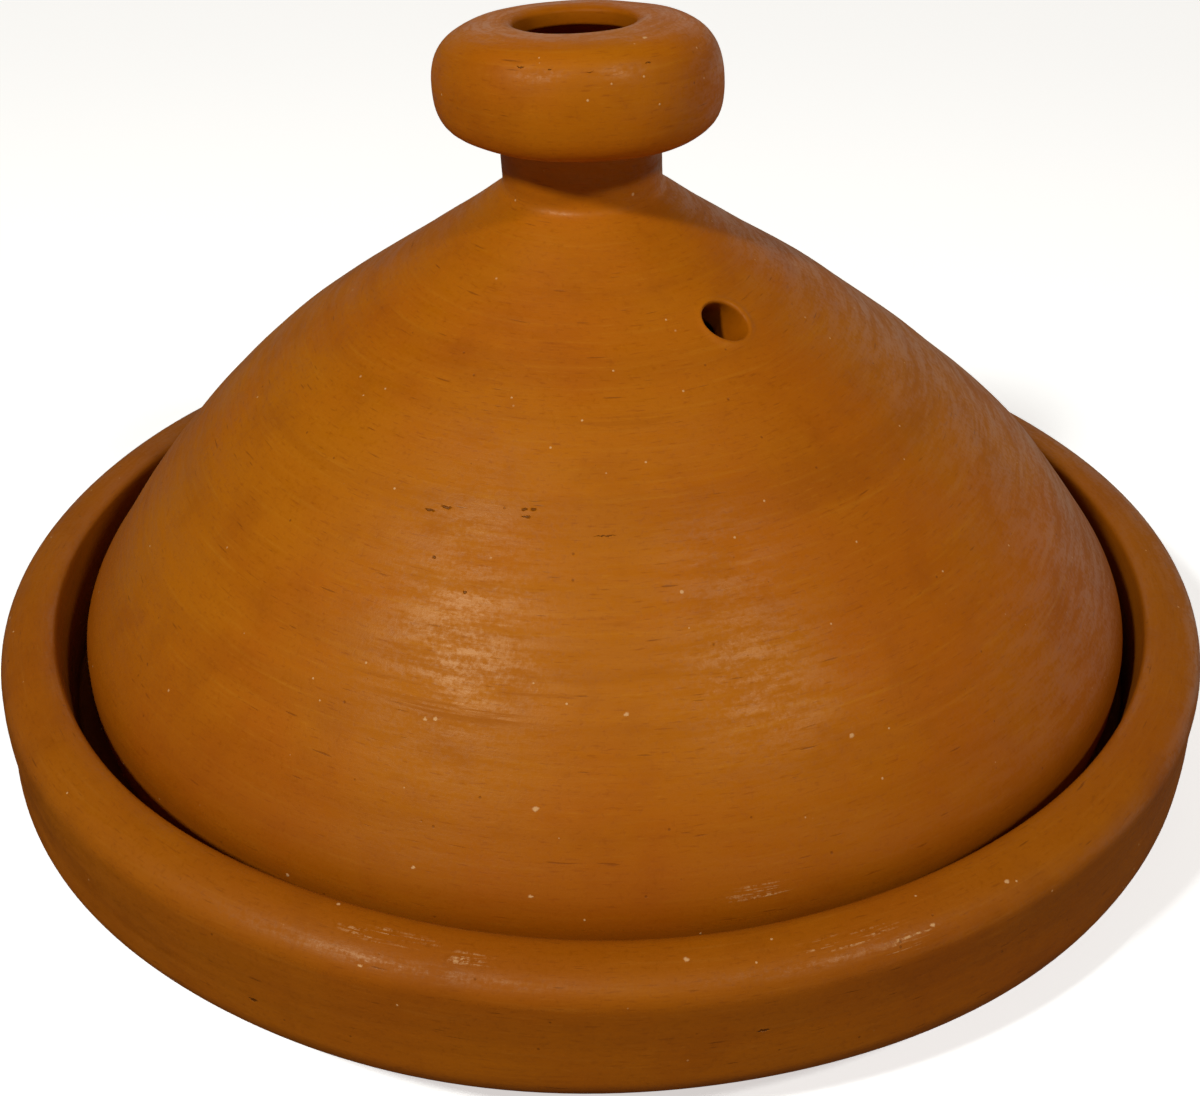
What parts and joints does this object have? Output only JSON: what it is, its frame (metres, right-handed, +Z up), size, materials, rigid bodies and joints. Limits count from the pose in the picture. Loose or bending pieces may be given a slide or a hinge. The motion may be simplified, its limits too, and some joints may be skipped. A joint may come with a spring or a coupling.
{
  "type": "tagine pot",
  "caption": "Round unglazed clay cooking pot: a shallow thick-rimmed dish and a tall conical lid with a hollow knob and a steam vent, which lifts straight off.",
  "frame": {"origin": "centre of the dish's flat underside", "axes": "+Z up along the pot's axis; -Y is the front, and the steam vent is at the front right, between -Y and +X"},
  "size_m": [0.305, 0.305, 0.1863],
  "materials": {
    "dish_clay": "unglazed terracotta, burnished to a soft sheen",
    "lid_clay": "unglazed terracotta, burnished to a soft sheen"
  },
  "bodies": {
    "dish": {"base_dish": "dish_clay"},
    "lid": {"conical_lid": "lid_clay"}
  },
  "joints": [
    {"name": "lid_lift", "type": "slide", "parent": "dish", "child": "lid", "axis": [0, 0, 1], "range_m": [0, 0.2]}
  ]
}
